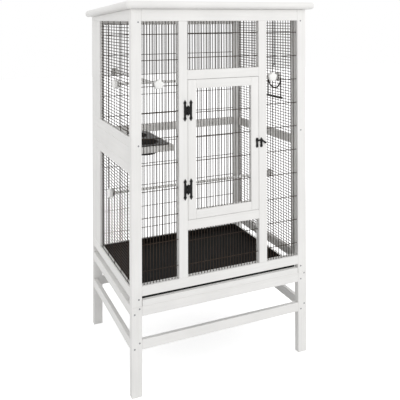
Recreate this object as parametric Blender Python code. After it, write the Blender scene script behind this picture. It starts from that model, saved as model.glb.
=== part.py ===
"""Indoor aviary: a painted timber cage with wire grilles on a legged stand.

Metres, +Z up, the front towards -Y. The origin is the middle of the footprint, on the floor.
The door, its latch lever, the cleaning drawer and the swing hang on empties at their joints.
"""
import math

import bmesh
import bpy
from mathutils import Matrix, Vector

MM = 0.001

# Body of the aviary, over the legs and posts
BODY_W = 800 * MM
BODY_D = 628 * MM
FIT = 0.3 * MM
ARRIS = 1.0 * MM

# Legs, and the posts that stand on them
POST_W = 42 * MM
POST_D = 28 * MM

# Boards
MEMBER_W = 38 * MM
FRONT_T = 28 * MM
SIDE_T = 18 * MM
BACK_T = 18 * MM

# Stand
STAND_H = 348 * MM
STRETCHER_Z = 181 * MM
RUNNER_W = 42 * MM
RUNNER_T = 12 * MM
BACK_LIP = 19 * MM

# Roof board, which falls towards the back
ROOF_FRONT_Z = STAND_H + 1152 * MM
ROOF_BACK_Z = STAND_H + 1122 * MM
ROOF_T = 31 * MM
ROOF_NOSE = 12 * MM
OVER_SIDE = 32 * MM
OVER_FRONT = 30 * MM
OVER_BACK = 10 * MM

# Edges that the pieces are placed from
LEFT = -BODY_W / 2
RIGHT = BODY_W / 2
FRONT = OVER_FRONT - (BODY_D + OVER_FRONT + OVER_BACK) / 2
BACK = FRONT + BODY_D

# Heights of the cage's rails on the stand, each to its lower edge
FRONT_SILL_Z = STAND_H + 39 * MM
SIDE_SILL_Z = STAND_H + 32 * MM
HEAD_Z = STAND_H + 1104 * MM
BACK_HEAD_Z = STAND_H + 1084 * MM
DOOR_SILL_Z = STAND_H + 266 * MM
DOOR_HEAD_Z = STAND_H + 869 * MM
BACK_MIDDLE_Z = STAND_H + 550 * MM
RIGHT_MIDDLE_Z = STAND_H + 548 * MM
PANEL_Z = STAND_H + 547 * MM
PANEL_H = 68 * MM

# Door, between the two mullions
MULLION_GAP = 328 * MM
DOOR_LEFT = -MULLION_GAP / 2
DOOR_RIGHT = MULLION_GAP / 2
DOOR_T = 22 * MM
DOOR_MEMBER_W = 36 * MM
DOOR_GAP = 1.5 * MM

# Wire grilles, whose borders sit in grooves in the timber
GROOVE_D = 6 * MM
BORDER_W = 4 * MM
BORDER_T = 4.8 * MM
WIRE = 2.0 * MM
WIRE_PITCH = 13 * MM
CROSS_PITCH = 100 * MM
FRONT_GRILLE_IN = 13 * MM
SIDE_GRILLE_IN = 9 * MM
BACK_GRILLE_IN = 9 * MM
WIRE_FACE = WIRE + FIT * 1.5

# Openings that the grilles fill, from edge to edge
FRONT_LEFT_U = (LEFT + POST_W, DOOR_LEFT - MEMBER_W)
FRONT_RIGHT_U = (DOOR_RIGHT + MEMBER_W, RIGHT - POST_W)
BACK_U = (LEFT + POST_W, RIGHT - POST_W)
SIDE_U = (FRONT + POST_D, BACK - POST_D)
LEFT_LOW_V = (SIDE_SILL_Z + MEMBER_W, PANEL_Z - MEMBER_W)
LEFT_HIGH_V = (PANEL_Z + PANEL_H + MEMBER_W, HEAD_Z)
RIGHT_LOW_V = (SIDE_SILL_Z + MEMBER_W, RIGHT_MIDDLE_Z)
RIGHT_HIGH_V = (RIGHT_MIDDLE_Z + MEMBER_W, HEAD_Z)

# Hinges, with their leaves on the front face
HINGE_LOW_Z = DOOR_SILL_Z + 163 * MM
HINGE_HIGH_Z = DOOR_HEAD_Z - 124 * MM
LEAF_T = 2.5 * MM
LEAF_W = 20 * MM
LEAF_H = 86 * MM
KNUCKLE_R = 3.6 * MM
KNUCKLE_H = 33 * MM
KNUCKLE_EASE = 0.5 * MM
PIN_R = 1.6 * MM
PIN_OVER = 2.5 * MM

# Latch
LATCH_Z = DOOR_SILL_Z + 322 * MM
LATCH_PLATE_W = 12 * MM
LATCH_PLATE_H = 41 * MM
LATCH_PLATE_T = 2 * MM
LATCH_PLATE_IN = 8.5 * MM
KEEPER_IN = 10.5 * MM
PIVOT_UP = 10 * MM
STUD_R = 3 * MM
STUD_HEAD_R = 5 * MM
STUD_HEAD_T = 2 * MM
LEVER_W = 6.4 * MM
LEVER_T = 3 * MM
LEVER_EYE_R = 5.6 * MM
LEVER_BEND = LATCH_PLATE_IN + DOOR_GAP + KEEPER_IN + FIT
KNOB_OUT = LEVER_BEND + 16 * MM
KNOB_DROP = 11 * MM
KNOB_R = 4.5 * MM
KNOB_T = 9 * MM
REST_W = 4.8 * MM
REST_T = 3 * MM
REST_OUT = 3 * MM

# Drawer
TRAY_SIDE_GAP = 2 * MM
TRAY_WALL = 2 * MM
TRAY_H = 22 * MM
TRAY_BACK_GAP = 8 * MM
TRAY_RIM = 5 * MM
STRIP_H = 23 * MM
STRIP_T = 18 * MM

# Perches, of round rod. A flange inside and a star knob outside clamp each grille between them
PERCH_R = 6 * MM
FLANGE_R = 16 * MM
FLANGE_T = 5 * MM
SCREW_R = 2.5 * MM
STAR_R = 19 * MM
STAR_LOBES = 5
STAR_LOBE = 2 * MM
STAR_T = 16 * MM
STAR_CROWN = 5 * MM
HIGH_PERCH_Y = FRONT + 226 * MM
HIGH_PERCH_Z = HEAD_Z - 267 * MM
SIDE_PERCH_X = LEFT + 113 * MM
SIDE_PERCH_Z = HEAD_Z - 249 * MM
LOW_PERCH_Y = FRONT + 304 * MM
LOW_PERCH_Z = STAND_H + 359 * MM

# Swing, and the rod that hangs it from the roof
SWING_X = RIGHT - 100 * MM
SWING_Y = FRONT + 99 * MM
SWING_Z = HEAD_Z - 202 * MM
SWING_W = 108 * MM
SWING_H = 138 * MM
SWING_ARCH = 50 * MM
SWING_WIRE_R = 3 * MM
SWING_BAR_R = 5 * MM
SWING_BAR_OVER = 10 * MM
HANGER_R = 1.8 * MM
HANGER_EYE_R = 6.5 * MM
HANGER_EYE_W = 5 * MM
HANGER_PLATE_R = 14 * MM
HANGER_PLATE_T = 3 * MM

# Feeding shelf on its side panel, and the double bowl that drops into it
SHELF_Z = PANEL_Z + 22 * MM
SHELF_T = 25 * MM
SHELF_W = 192 * MM
SHELF_FRONT = 57 * MM
SHELF_L = 325 * MM
BOWL_FLANGE_W = 166 * MM
BOWL_FLANGE_L = 300 * MM
BOWL_FLANGE_T = 3 * MM
BOWL_R = 58 * MM
BOWL_BOTTOM_R = 46 * MM
BOWL_DEPTH = 44 * MM
BOWL_WALL = 2.5 * MM
BOWL_SPACING = 146 * MM
BOWL_SIDES = 24

FINISHES = {
    "paint": ((0.86, 0.85, 0.83, 1), 0.45, 0.0),
    "wire": ((0.02, 0.02, 0.02, 1), 0.40, 0.3),
    "iron": ((0.015, 0.015, 0.016, 1), 0.45, 0.5),
    "black_plastic": ((0.02, 0.02, 0.022, 1), 0.35, 0.0),
    "white_plastic": ((0.85, 0.85, 0.84, 1), 0.30, 0.0),
}


def clear_scene():
    for obj in list(bpy.data.objects):
        bpy.data.objects.remove(obj, do_unlink=True)


def finish(name, kind):
    """A Principled material for one piece, in one of the aviary's finishes."""
    colour, roughness, metallic = FINISHES[kind]
    material = bpy.data.materials.new(f"{name}_{kind}")
    material.use_nodes = True
    shader = material.node_tree.nodes["Principled BSDF"]
    shader.inputs["Base Color"].default_value = colour
    shader.inputs["Roughness"].default_value = roughness
    shader.inputs["Metallic"].default_value = metallic
    material.diffuse_color = colour
    return material


def add_object(name, bm, kind=None, place=(0, 0, 0)):
    """Makes an object of a bmesh. With no finish it is a tool shape that only shapes others."""
    bmesh.ops.recalc_face_normals(bm, faces=bm.faces)
    mesh = bpy.data.meshes.new(name)
    bm.to_mesh(mesh)
    bm.free()
    obj = bpy.data.objects.new(name, mesh)
    obj.location = place
    bpy.context.collection.objects.link(obj)
    if kind is None:
        obj.hide_render = True
        obj.display_type = "WIRE"
    else:
        mesh.materials.append(finish(name, kind))
    return obj


def add_box(bm, low, high):
    size = [b - a for a, b in zip(low, high)]
    middle = [(a + b) / 2 for a, b in zip(low, high)]
    matrix = Matrix.Translation(middle) @ Matrix.Diagonal((*size, 1))
    return bmesh.ops.create_cube(bm, size=1, matrix=matrix)["verts"]


def add_cylinder(bm, centre, axis, radius, length, sides=16, end_radius=None):
    """A cylinder or cone whose middle is at centre, along the X, Y or Z axis."""
    turn = Vector((0, 0, 1)).rotation_difference(Vector(axis)).to_matrix().to_4x4()
    bmesh.ops.create_cone(
        bm,
        cap_ends=True,
        segments=sides,
        radius1=radius,
        radius2=radius if end_radius is None else end_radius,
        depth=length,
        matrix=Matrix.Translation(centre) @ turn,
    )


def add_ring(bm, normal, outer, inner, depth):
    """A flat rectangular ring. outer and inner are ((u0, u1), (v0, v1)), depth is (w0, w1)."""
    loops = []
    for (u0, u1), (v0, v1) in (outer, inner):
        for w in depth:
            corners = ((u0, v0), (u1, v0), (u1, v1), (u0, v1))
            loops.append([bm.verts.new(in_plane(normal, u, w, v)) for u, v in corners])
    outer_near, outer_far, inner_near, inner_far = loops
    for i in range(4):
        j = (i + 1) % 4
        bm.faces.new((outer_near[i], outer_near[j], outer_far[j], outer_far[i]))
        bm.faces.new((inner_near[i], inner_near[j], inner_far[j], inner_far[i]))
        bm.faces.new((outer_near[i], outer_near[j], inner_near[j], inner_near[i]))
        bm.faces.new((outer_far[i], outer_far[j], inner_far[j], inner_far[i]))


def add_sweep(bm, points, radius, sides):
    """A round tube along points that lie in one YZ plane, closed at both ends."""
    rings = []
    for i, point in enumerate(points):
        before = points[max(i - 1, 0)]
        after = points[min(i + 1, len(points) - 1)]
        along = (Vector(after) - Vector(before)).normalized()
        side = Vector((1, 0, 0))
        out = along.cross(side).normalized()
        ring = []
        for k in range(sides):
            angle = 2 * math.pi * k / sides
            spoke = math.cos(angle) * side + math.sin(angle) * out
            ring.append(bm.verts.new(Vector(point) + radius * spoke))
        rings.append(ring)
    skin_rings(bm, rings)


def skin_rings(bm, rings):
    """Closes a row of rings of equal count into one body."""
    count = len(rings[0])
    for low, high in zip(rings, rings[1:]):
        for k in range(count):
            m = (k + 1) % count
            bm.faces.new((low[k], low[m], high[m], high[k]))
    bm.faces.new(rings[0])
    bm.faces.new(rings[-1])


def add_prism(bm, corners, move):
    """An outline pulled out into a solid."""
    face = bm.faces.new([bm.verts.new(corner) for corner in corners])
    run = bmesh.ops.extrude_face_region(bm, geom=[face])["geom"]
    moved = [item for item in run if isinstance(item, bmesh.types.BMVert)]
    bmesh.ops.translate(bm, vec=move, verts=moved)


def add_star(bm, centre, outward):
    """A star knob that stands on centre, with soft lobes and a crowned top."""
    turn = Vector((0, 0, 1)).rotation_difference(Vector(outward)).to_matrix()
    points = STAR_LOBES * 4
    rings = []
    for height, share in ((0, 1), (STAR_T - STAR_CROWN, 1), (STAR_T, 0.68)):
        ring = []
        for k in range(points):
            angle = 2 * math.pi * k / points
            radius = share * (STAR_R + STAR_LOBE * math.cos(STAR_LOBES * angle))
            spot = Vector((radius * math.cos(angle), radius * math.sin(angle), height))
            ring.append(bm.verts.new(Vector(centre) + turn @ spot))
        rings.append(ring)
    skin_rings(bm, rings)


def in_plane(normal, u, w, v):
    """A point of an upright panel: u along it, w through it and v up."""
    return (u, w, v) if normal == "Y" else (w, u, v)


def combine(obj, tool, operation):
    modifier = obj.modifiers.new(operation.lower(), "BOOLEAN")
    modifier.operation = operation
    modifier.solver = "EXACT"
    modifier.object = tool


def ease_edges(obj, width, segments=1):
    """Takes the sharp arris off every edge, as on sanded and painted timber."""
    modifier = obj.modifiers.new("arris", "BEVEL")
    modifier.width = width
    modifier.segments = segments
    modifier.limit_method = "ANGLE"


def hang_on(obj, joint):
    """Carries a piece on the empty at its joint, without moving it."""
    obj.location = Vector(obj.location) - joint.location
    obj.parent = joint


def joint_empty(name, place):
    empty = bpy.data.objects.new(name, None)
    empty.location = place
    bpy.context.collection.objects.link(empty)
    return empty


def roof_z(y):
    """Height of the roof's underside at y."""
    return ROOF_FRONT_Z + (ROOF_BACK_Z - ROOF_FRONT_Z) * (y - FRONT) / BODY_D


def board(name, x, y, z, under_roof=False):
    """A painted board over three ranges. Under the roof, its top follows the roof's fall."""
    top = z[1] if not under_roof else roof_z(y[0])
    low = Vector((x[0], y[0], z[0]))
    high = Vector((x[1], y[1], top))
    middle = (low + high) / 2
    bm = bmesh.new()
    verts = add_box(bm, low - middle, high - middle)
    if under_roof:
        for vert in verts:
            if vert.co.z > 0:
                vert.co.z = roof_z(vert.co.y + middle.y) - FIT - middle.z
    obj = add_object(name, bm, "paint", middle)
    ease_edges(obj, ARRIS)
    return obj


def bar_places(span):
    """Middles of a grille's close bars, spaced evenly from edge to edge."""
    count = max(round((span[1] - span[0]) / WIRE_PITCH) - 1, 1)
    return [span[0] + (span[1] - span[0]) * (i + 1) / (count + 1) for i in range(count)]


def cross_places(span, from_edge):
    """Middles of a grille's cross wires. from_edge is the first wire's distance in pitches."""
    parts = max(round((span[1] - span[0]) / CROSS_PITCH), 1)
    count = parts + 1 - round(2 * from_edge)
    return [span[0] + (span[1] - span[0]) * (i + from_edge) / parts for i in range(count)]


def gap_near(span, wanted):
    """Middle of the gap between two bars that lies nearest to a wanted place."""
    bars = bar_places(span)
    gaps = [(a + b) / 2 for a, b in zip(bars, bars[1:])]
    return min(gaps, key=lambda gap: abs(gap - wanted))


def grille(name, normal, u, v, plane, upright, from_edge=0.5):
    """A wire grille that fills the opening u by v and tucks into grooves all round it.

    Close bars run one way and cross wires the other, on the outer side of the bars. The bars run
    upwards where upright is true. Returns the grille and the tool that cuts its grooves.
    """
    tuck = GROOVE_D - FIT
    outer = ((u[0] - tuck, u[1] + tuck), (v[0] - tuck, v[1] + tuck))
    inner = tuple((low + BORDER_W, high - BORDER_W) for low, high in outer)
    outward = -1 if plane < 0 else 1
    bm = bmesh.new()
    add_ring(bm, normal, outer, inner, (plane - BORDER_T / 2, plane + BORDER_T / 2))
    obj = add_object(name, bm, "wire")

    bar_layer = sorted((plane - outward * FIT / 2, plane - outward * (FIT / 2 + WIRE)))
    cross_layer = sorted((plane + outward * FIT / 2, plane + outward * (FIT / 2 + WIRE)))
    across, along = (u, v) if upright else (v, u)
    across_border, along_border = (0, 1) if upright else (1, 0)
    hold = BORDER_W / 2
    wires = bmesh.new()
    for places, border, layer, runs_up in (
        (bar_places(across), outer[along_border], bar_layer, upright),
        (cross_places(along, from_edge), outer[across_border], cross_layer, not upright),
    ):
        reach = (border[0] + hold, border[1] - hold)
        for centre in places:
            width = (centre - WIRE / 2, centre + WIRE / 2)
            pair = (width, reach) if runs_up else (reach, width)
            low = in_plane(normal, pair[0][0], layer[0], pair[1][0])
            high = in_plane(normal, pair[0][1], layer[1], pair[1][1])
            add_box(wires, low, high)
    combine(obj, add_object(f"{name}_wires", wires), "UNION")

    groove = bmesh.new()
    room = BORDER_T / 2 + FIT
    low = in_plane(normal, u[0] - GROOVE_D, plane - room, v[0] - GROOVE_D)
    high = in_plane(normal, u[1] + GROOVE_D, plane + room, v[1] + GROOVE_D)
    add_box(groove, low, high)
    return obj, add_object(f"{name}_groove", groove)


def groove_for(tool, members):
    """Cuts the groove of one grille into each board around it."""
    for member in members:
        combine(member, tool, "DIFFERENCE")


def build_stand():
    """Four legs, with aprons under the drawer and stretchers near the floor."""
    for side, x in (("left", LEFT), ("right", RIGHT - POST_W)):
        for end, y in (("front", FRONT), ("back", BACK - POST_D)):
            board(f"stand_leg_{end}_{side}", (x, x + POST_W), (y, y + POST_D), (0, STAND_H))
    between_x = (LEFT + POST_W + FIT, RIGHT - POST_W - FIT)
    between_y = (FRONT + POST_D + FIT, BACK - POST_D - FIT)
    apron_z = (STAND_H - MEMBER_W, STAND_H)
    stretcher_z = (STRETCHER_Z, STRETCHER_Z + MEMBER_W)
    front_y = (FRONT, FRONT + SIDE_T)
    back_y = (BACK - BACK_T, BACK)
    board("stand_apron_front", between_x, front_y, apron_z)
    board("stand_apron_back", between_x, back_y, (apron_z[0], STAND_H + BACK_LIP))
    board("stand_stretcher_front", between_x, front_y, stretcher_z)
    board("stand_stretcher_back", between_x, back_y, stretcher_z)
    for side, x, inward in (("left", LEFT, 1), ("right", RIGHT, -1)):
        face_x = sorted((x, x + inward * SIDE_T))
        board(f"stand_stretcher_{side}", face_x, between_y, stretcher_z)
        side_apron(f"stand_apron_{side}", x, inward, between_y, apron_z)


def side_apron(name, x, inward, y, z):
    """A side apron with the ledge that the drawer runs on."""
    profile = [
        (0, z[0]),
        (SIDE_T, z[0]),
        (SIDE_T, z[1] - RUNNER_T),
        (SIDE_T + RUNNER_W, z[1] - RUNNER_T),
        (SIDE_T + RUNNER_W, z[1]),
        (0, z[1]),
    ]
    middle = Vector((x, (y[0] + y[1]) / 2, z[0]))
    corners = [(inward * px, y[0] - middle.y, pz - middle.z) for px, pz in profile]
    bm = bmesh.new()
    add_prism(bm, corners, (0, y[1] - y[0], 0))
    ease_edges(add_object(name, bm, "paint", middle), ARRIS)


def build_posts():
    posts = {}
    for side, x in (("left", LEFT), ("right", RIGHT - POST_W)):
        for end, y in (("front", FRONT), ("back", BACK - POST_D)):
            name = f"post_{end}_{side}"
            z = (STAND_H + FIT, None)
            posts[name] = board(name, (x, x + POST_W), (y, y + POST_D), z, under_roof=True)
    return posts


def build_front(posts):
    """Rails, mullions and four grilles of the front, around the door's opening."""
    x = (LEFT + POST_W + FIT, RIGHT - POST_W - FIT)
    y = (FRONT, FRONT + FRONT_T)
    sill_top = FRONT_SILL_Z + MEMBER_W
    head = board("front_rail_top", x, y, (HEAD_Z, None), under_roof=True)
    sill = board("front_rail_bottom", x, y, (FRONT_SILL_Z, sill_top))
    upright_z = (sill_top + FIT, HEAD_Z - FIT)
    left = board("front_mullion_left", (DOOR_LEFT - MEMBER_W, DOOR_LEFT), y, upright_z)
    right = board("front_mullion_right", (DOOR_RIGHT, DOOR_RIGHT + MEMBER_W), y, upright_z)
    centre_x = (DOOR_LEFT + FIT, DOOR_RIGHT - FIT)
    low_rail = board("front_rail_under_door", centre_x, y, (DOOR_SILL_Z, DOOR_SILL_Z + MEMBER_W))
    high_rail = board("front_rail_over_door", centre_x, y, (DOOR_HEAD_Z, DOOR_HEAD_Z + MEMBER_W))

    plane = FRONT + FRONT_GRILLE_IN
    zones = (
        ("front_grille_left", FRONT_LEFT_U, (sill_top, HEAD_Z),
         (posts["post_front_left"], left, head, sill)),
        ("front_grille_right", FRONT_RIGHT_U, (sill_top, HEAD_Z),
         (posts["post_front_right"], right, head, sill)),
        ("front_grille_upper", (DOOR_LEFT, DOOR_RIGHT), (DOOR_HEAD_Z + MEMBER_W, HEAD_Z),
         (left, right, head, high_rail)),
        ("front_grille_lower", (DOOR_LEFT, DOOR_RIGHT), (sill_top, DOOR_SILL_Z),
         (left, right, low_rail, sill)),
    )
    for name, u, v, members in zones:
        groove_for(grille(name, "Y", u, v, plane, True)[1], members)


def build_back(posts):
    x = (LEFT + POST_W + FIT, RIGHT - POST_W - FIT)
    y = (BACK - BACK_T, BACK)
    head = board("back_rail_top", x, y, (BACK_HEAD_Z, None), under_roof=True)
    middle = board("back_rail_middle", x, y, (BACK_MIDDLE_Z, BACK_MIDDLE_Z + MEMBER_W))
    sill = bpy.data.objects["stand_apron_back"]
    pair = (posts["post_back_left"], posts["post_back_right"])
    plane = BACK - BACK_GRILLE_IN
    high_v = (BACK_MIDDLE_Z + MEMBER_W, BACK_HEAD_Z)
    low_v = (STAND_H + BACK_LIP, BACK_MIDDLE_Z)
    groove_for(grille("back_grille_upper", "Y", BACK_U, high_v, plane, True)[1], (*pair, head, middle))
    groove_for(grille("back_grille_lower", "Y", BACK_U, low_v, plane, True)[1], (*pair, middle, sill))


def build_side(side, x, inward, posts):
    """Rails and two grilles of one side. The left side has a solid panel at mid height."""
    face_x = sorted((x, x + inward * SIDE_T))
    y = (FRONT + POST_D + FIT, BACK - POST_D - FIT)
    head = board(f"{side}_rail_top", face_x, y, (HEAD_Z, None), under_roof=True)
    sill = board(f"{side}_rail_bottom", face_x, y, (SIDE_SILL_Z, SIDE_SILL_Z + MEMBER_W))
    if side == "left":
        low_v, high_v = LEFT_LOW_V, LEFT_HIGH_V
        low = board("left_rail_under_panel", face_x, y, (low_v[1], PANEL_Z))
        high = board("left_rail_over_panel", face_x, y, (PANEL_Z + PANEL_H, high_v[0]))
    else:
        low_v, high_v = RIGHT_LOW_V, RIGHT_HIGH_V
        low = board("right_rail_middle", face_x, y, (low_v[1], high_v[0]))
        high = low
    pair = (posts[f"post_front_{side}"], posts[f"post_back_{side}"])
    plane = x + inward * SIDE_GRILLE_IN
    groove_for(grille(f"{side}_grille_upper", "X", SIDE_U, high_v, plane, False)[1], (*pair, head, high))
    groove_for(grille(f"{side}_grille_lower", "X", SIDE_U, low_v, plane, False)[1], (*pair, low, sill))


def build_roof():
    """The roof board, which follows the fall and has rounded edges all round."""
    y = (FRONT - OVER_FRONT, BACK + OVER_BACK)
    x = (LEFT - OVER_SIDE, RIGHT + OVER_SIDE)
    middle = Vector((0, (y[0] + y[1]) / 2, roof_z((y[0] + y[1]) / 2)))
    bm = bmesh.new()
    for vert in add_box(bm, (x[0], y[0] - middle.y, 0), (x[1], y[1] - middle.y, ROOF_T)):
        vert.co.z += roof_z(vert.co.y + middle.y) - middle.z
    ease_edges(add_object("roof", bm, "paint", middle), ROOF_NOSE, 3)


def leaf_outline(side, knuckle_on_middle):
    """Outline of one hinge leaf from the pin outwards, as (x, z), with a spear at each end."""
    inner = KNUCKLE_R + FIT
    joined = KNUCKLE_R * 0.6
    notch = KNUCKLE_H / 6 + (-2 * FIT if knuckle_on_middle else 2 * FIT)
    middle_x, end_x = (joined, inner) if knuckle_on_middle else (inner, joined)
    bar = LEAF_W * 0.42
    half = KNUCKLE_H / 2
    tip = LEAF_H / 2
    upper = [
        (middle_x, 0),
        (middle_x, notch),
        (end_x, notch),
        (end_x, half - KNUCKLE_EASE),
        (LEAF_W * 0.36, half + KNUCKLE_EASE * 2),
        (bar, half + KNUCKLE_EASE * 8),
        (bar, tip * 0.62),
        (LEAF_W * 0.30, tip * 0.72),
        (LEAF_W * 0.44, tip * 0.84),
        (LEAF_W * 0.65, tip),
        (LEAF_W * 0.86, tip * 0.84),
        (LEAF_W, tip * 0.72),
        (LEAF_W * 0.88, tip * 0.62),
        (LEAF_W * 0.88, half),
        (LEAF_W * 0.78, half * 0.5),
        (LEAF_W * 0.74, 0),
    ]
    lower = [(x, -z) for x, z in reversed(upper[1:-1])]
    return [(side * x, z) for x, z in upper + lower]


def hinge_leaf(name, z, side, knuckle_on_middle):
    """One leaf of a door hinge with its share of the knuckle, about the pin's axis."""
    axis = Vector((DOOR_LEFT + DOOR_GAP / 2, FRONT - FIT - KNUCKLE_R, z))
    near_y = KNUCKLE_R - LEAF_T
    bm = bmesh.new()
    add_prism(bm, [(x, near_y, h) for x, h in leaf_outline(side, knuckle_on_middle)], (0, LEAF_T, 0))
    obj = add_object(name, bm, "iron", axis)

    third = KNUCKLE_H / 3
    barrels = bmesh.new()
    if knuckle_on_middle:
        add_cylinder(barrels, (0, 0, 0), (0, 0, 1), KNUCKLE_R, third - FIT, 12)
        bore = bmesh.new()
        add_cylinder(bore, (0, 0, 0), (0, 0, 1), PIN_R + FIT, third * 2, 12)
    else:
        for end in (-1, 1):
            add_cylinder(barrels, (0, 0, end * third), (0, 0, 1), KNUCKLE_R, third - FIT, 12)
    combine(obj, add_object(f"{name}_barrels", barrels, None, axis), "UNION")
    if knuckle_on_middle:
        combine(obj, add_object(f"{name}_bore", bore, None, axis), "DIFFERENCE")
    else:
        pin = bmesh.new()
        add_cylinder(pin, (0, 0, 0), (0, 0, 1), PIN_R, KNUCKLE_H + 2 * PIN_OVER, 12)
        combine(obj, add_object(f"{name}_pin", pin, None, axis), "UNION")
    return obj


def build_door():
    """The door's frame and grille, its hinges and its latch."""
    x = (DOOR_LEFT + DOOR_GAP, DOOR_RIGHT - DOOR_GAP)
    z = (DOOR_SILL_Z + MEMBER_W + DOOR_GAP, DOOR_HEAD_Z - DOOR_GAP)
    window_x = (x[0] + DOOR_MEMBER_W, x[1] - DOOR_MEMBER_W)
    window_z = (z[0] + DOOR_MEMBER_W, z[1] - DOOR_MEMBER_W)
    hinge = joint_empty("door_axis", (DOOR_LEFT + DOOR_GAP / 2, FRONT - FIT - KNUCKLE_R, z[0]))
    bm = bmesh.new()
    add_ring(bm, "Y", (x, z), (window_x, window_z), (FRONT, FRONT + DOOR_T))
    frame = add_object("door_frame", bm, "paint")
    ease_edges(frame, ARRIS)
    wires, groove = grille("door_grille", "Y", window_x, window_z, FRONT + FRONT_GRILLE_IN, True, 1)
    groove_for(groove, (frame,))
    hang_on(frame, hinge)
    hang_on(wires, hinge)
    for label, height in (("lower", HINGE_LOW_Z), ("upper", HINGE_HIGH_Z)):
        hinge_leaf(f"hinge_{label}_frame_leaf", height, -1, False)
        leaf = hinge_leaf(f"hinge_{label}_door_leaf", height, 1, True)
        hang_on(leaf, hinge)
    build_latch(x[1], hinge)


def plate_outline(spear):
    """Outline of a latch plate as (x, z): a slim waist between round ends, or a spear on top."""
    half = LATCH_PLATE_W / 2
    tip = LATCH_PLATE_H / 2
    round_end = [(0.62, 0), (0.66, 0.36), (0.96, 0.60), (0.92, 0.80), (0.56, 0.95)]
    spear_end = [(0.62, 0), (0.70, 0.28), (1.0, 0.52), (0.62, 0.74), (0.30, 0.92)]
    top = [(x * half, z * tip) for x, z in (spear_end if spear else round_end)]
    bottom = [(x * half, -z * tip) for x, z in round_end[1:]]
    right = list(reversed(bottom)) + top + [(0, tip)]
    return right + [(-x, z) for x, z in reversed(right[:-1])] + [(0, -tip)]


def build_latch(door_edge, hinge):
    """A plate and lever on the door, and the keeper that the lever lies on."""
    plate_x = door_edge - LATCH_PLATE_IN
    keeper_x = DOOR_RIGHT + KEEPER_IN
    plate_y = (FRONT - FIT - LATCH_PLATE_T, FRONT - FIT)
    lever_y = (plate_y[0] - FIT - LEVER_T, plate_y[0] - FIT)

    place = Vector((plate_x, plate_y[0], LATCH_Z))
    bm = bmesh.new()
    add_prism(bm, [(x, 0, z) for x, z in plate_outline(False)], (0, LATCH_PLATE_T, 0))
    plate = add_object("latch_plate", bm, "iron", place)
    room = LEVER_T + 2 * FIT
    stud_low = -room - STUD_HEAD_T / 2
    stud_l = LATCH_PLATE_T / 2 - stud_low
    stud = bmesh.new()
    add_cylinder(stud, (0, stud_low + stud_l / 2, PIVOT_UP), (0, 1, 0), STUD_R, stud_l)
    head = bmesh.new()
    add_cylinder(head, (0, -room - STUD_HEAD_T / 2, PIVOT_UP), (0, 1, 0), STUD_HEAD_R, STUD_HEAD_T)
    combine(plate, add_object("latch_plate_stud", stud, None, place), "UNION")
    combine(plate, add_object("latch_plate_head", head, None, place), "UNION")
    hang_on(plate, hinge)

    keeper_place = Vector((keeper_x, plate_y[0], LATCH_Z))
    bm = bmesh.new()
    add_prism(bm, [(x, 0, z) for x, z in plate_outline(True)], (0, LATCH_PLATE_T, 0))
    keeper = add_object("latch_keeper", bm, "iron", keeper_place)
    rest_top = PIVOT_UP - LEVER_W / 2 - FIT
    rest = bmesh.new()
    rest_low = (-REST_W, -LEVER_T - REST_OUT, rest_top - REST_T)
    add_box(rest, rest_low, (0, LATCH_PLATE_T / 2, rest_top))
    combine(keeper, add_object("latch_keeper_rest", rest, None, keeper_place), "UNION")

    turn = joint_empty("latch_axis", (0, 0, 0))
    turn.location = Vector((plate_x, lever_y[0], LATCH_Z + PIVOT_UP)) - hinge.location
    turn.parent = hinge
    lever = latch_lever()
    lever.parent = turn


def latch_lever():
    """The lever: a flat arm about its pivot that drops past the keeper to a knob."""
    half = LEVER_W / 2
    end = (KNOB_OUT, -KNOB_DROP)
    outline = [
        (0, half),
        (LEVER_BEND + half, half),
        (end[0] + half * 0.7, end[1] + half * 0.7),
        (end[0] - half * 0.7, end[1] - half * 0.7),
        (LEVER_BEND, -half),
        (0, -half),
    ]
    bm = bmesh.new()
    add_prism(bm, [(x, 0, z) for x, z in outline], (0, LEVER_T, 0))
    lever = add_object("latch_lever", bm, "iron")
    eye = bmesh.new()
    add_cylinder(eye, (0, LEVER_T / 2, 0), (0, 1, 0), LEVER_EYE_R, LEVER_T)
    combine(lever, parented(add_object("latch_lever_eye", eye)), "UNION")
    bore = bmesh.new()
    add_cylinder(bore, (0, LEVER_T / 2, 0), (0, 1, 0), STUD_R + FIT, LEVER_T * 3)
    combine(lever, parented(add_object("latch_lever_bore", bore)), "DIFFERENCE")
    knob = bmesh.new()
    knob_at = (end[0], LEVER_T / 2 - KNOB_T / 2, end[1])
    add_cylinder(knob, knob_at, (0, 1, 0), KNOB_R * 0.7, KNOB_T, 12, KNOB_R)
    combine(lever, parented(add_object("latch_lever_knob", knob)), "UNION")
    return lever


def parented(tool):
    """Carries a tool shape of the lever on the lever's own joint."""
    tool.parent = bpy.data.objects["latch_axis"]
    return tool


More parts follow.
